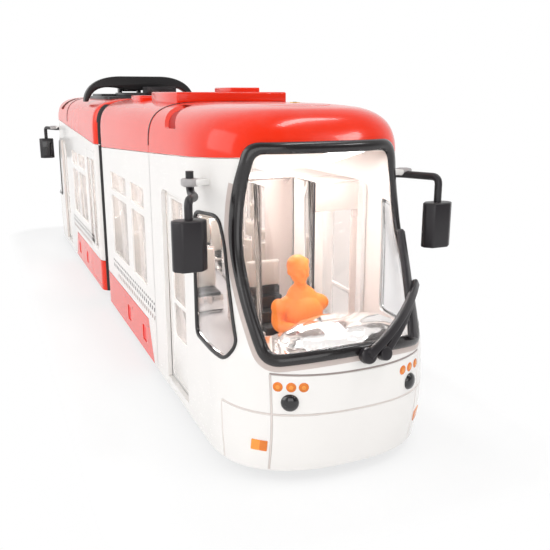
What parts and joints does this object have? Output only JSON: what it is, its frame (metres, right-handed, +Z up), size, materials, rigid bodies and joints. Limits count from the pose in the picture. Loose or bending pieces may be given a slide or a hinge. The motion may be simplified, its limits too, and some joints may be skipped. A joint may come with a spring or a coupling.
{
  "type": "toy articulated tram",
  "caption": "Toy articulated tram: two white cars with red roofs and skirts, hinged at a black bellows, with rolling wheels, sliding cab doors and a pantograph.",
  "frame": {"origin": "on the plane the wheels stand on, straight below the pivot between the two cars", "axes": "+X towards the front car's nose, +Y to its left, +Z up"},
  "size_m": [0.4682, 0.1, 0.1286],
  "materials": {
    "white_plastic": "gloss",
    "red_plastic": "gloss",
    "black_plastic": "satin",
    "grey_plastic": "satin",
    "wheel_plastic": "satin",
    "clear_plastic": "clear",
    "orange_plastic": "satin",
    "bellows_rubber": "matte"
  },
  "bodies": {
    "front_car": {"front_chassis": "black_plastic", "front_floor": "grey_plastic", "front_seats": "black_plastic", "front_cab_screen": "clear_plastic", "front_desk": "white_plastic", "front_body_shell": "white_plastic", "front_body_roof": "red_plastic", "front_skirt": "red_plastic", "front_cab_shell": "white_plastic", "front_cab_roof": "red_plastic", "front_windscreen": "clear_plastic", "front_windscreen_gasket": "black_plastic", "front_wiper": "black_plastic", "front_windows_left": "clear_plastic", "front_windows_right": "clear_plastic", "front_cab_window_left": "clear_plastic", "front_cab_window_right": "clear_plastic", "front_mirror_left": "black_plastic", "front_mirror_right": "black_plastic", "front_driver": "orange_plastic", "front_roof_box": "red_plastic", "front_roof_block": "red_plastic", "bellows": "bellows_rubber"},
    "rear_car": {"rear_chassis": "black_plastic", "rear_floor": "grey_plastic", "rear_seats": "black_plastic", "rear_cab_screen": "clear_plastic", "rear_desk": "white_plastic", "rear_body_shell": "white_plastic", "rear_body_roof": "red_plastic", "rear_skirt": "red_plastic", "rear_cab_shell": "white_plastic", "rear_cab_roof": "red_plastic", "rear_windscreen": "clear_plastic", "rear_windscreen_gasket": "black_plastic", "rear_wiper": "black_plastic", "rear_windows_left": "clear_plastic", "rear_windows_right": "clear_plastic", "rear_cab_window_left": "clear_plastic", "rear_cab_window_right": "clear_plastic", "rear_mirror_left": "black_plastic", "rear_mirror_right": "black_plastic", "rear_pantograph_base": "grey_plastic"},
    "front_cab_door_left": {"front_cab_door_left": "white_plastic"},
    "front_cab_door_right": {"front_cab_door_right": "white_plastic"},
    "front_wheelset_1": {"front_wheelset_1": "wheel_plastic"},
    "front_wheelset_2": {"front_wheelset_2": "wheel_plastic"},
    "front_wheelset_3": {"front_wheelset_3": "wheel_plastic"},
    "rear_cab_door_left": {"rear_cab_door_left": "white_plastic"},
    "rear_cab_door_right": {"rear_cab_door_right": "white_plastic"},
    "rear_wheelset_1": {"rear_wheelset_1": "wheel_plastic"},
    "rear_wheelset_2": {"rear_wheelset_2": "wheel_plastic"},
    "rear_wheelset_3": {"rear_wheelset_3": "wheel_plastic"},
    "rear_pantograph": {"rear_pantograph": "black_plastic"}
  },
  "joints": [
    {"name": "articulation", "type": "hinge", "parent": "front_car", "child": "rear_car", "pos_m": [0, 0, 0.01], "axis": [0, 0, 1], "range_deg": [-20, 20], "deforming": ["bellows"]},
    {"name": "front_cab_door_left_slide", "type": "slide", "parent": "front_car", "child": "front_cab_door_left", "axis": [-1, 0, 0], "range_m": [0, 0.0245]},
    {"name": "front_cab_door_right_slide", "type": "slide", "parent": "front_car", "child": "front_cab_door_right", "axis": [-1, 0, 0], "range_m": [0, 0.0245]},
    {"name": "front_wheelset_1_spin", "type": "hinge", "parent": "front_car", "child": "front_wheelset_1", "pos_m": [0.034, 0, 0.012], "axis": [0, 1, 0], "continuous": true},
    {"name": "front_wheelset_2_spin", "type": "hinge", "parent": "front_car", "child": "front_wheelset_2", "pos_m": [0.093, 0, 0.012], "axis": [0, 1, 0], "continuous": true},
    {"name": "front_wheelset_3_spin", "type": "hinge", "parent": "front_car", "child": "front_wheelset_3", "pos_m": [0.127, 0, 0.012], "axis": [0, 1, 0], "continuous": true},
    {"name": "rear_cab_door_left_slide", "type": "slide", "parent": "rear_car", "child": "rear_cab_door_left", "axis": [1, 0, 0], "range_m": [0, 0.0245]},
    {"name": "rear_cab_door_right_slide", "type": "slide", "parent": "rear_car", "child": "rear_cab_door_right", "axis": [1, 0, 0], "range_m": [0, 0.0245]},
    {"name": "rear_wheelset_1_spin", "type": "hinge", "parent": "rear_car", "child": "rear_wheelset_1", "pos_m": [-0.034, 0, 0.012], "axis": [0, 1, 0], "continuous": true},
    {"name": "rear_wheelset_2_spin", "type": "hinge", "parent": "rear_car", "child": "rear_wheelset_2", "pos_m": [-0.093, 0, 0.012], "axis": [0, 1, 0], "continuous": true},
    {"name": "rear_wheelset_3_spin", "type": "hinge", "parent": "rear_car", "child": "rear_wheelset_3", "pos_m": [-0.127, 0, 0.012], "axis": [0, 1, 0], "continuous": true},
    {"name": "pantograph_raise", "type": "hinge", "parent": "rear_car", "child": "rear_pantograph", "pos_m": [-0.084, 0, 0.1191], "axis": [0, -1, 0], "range_deg": [0, 35]}
  ]
}
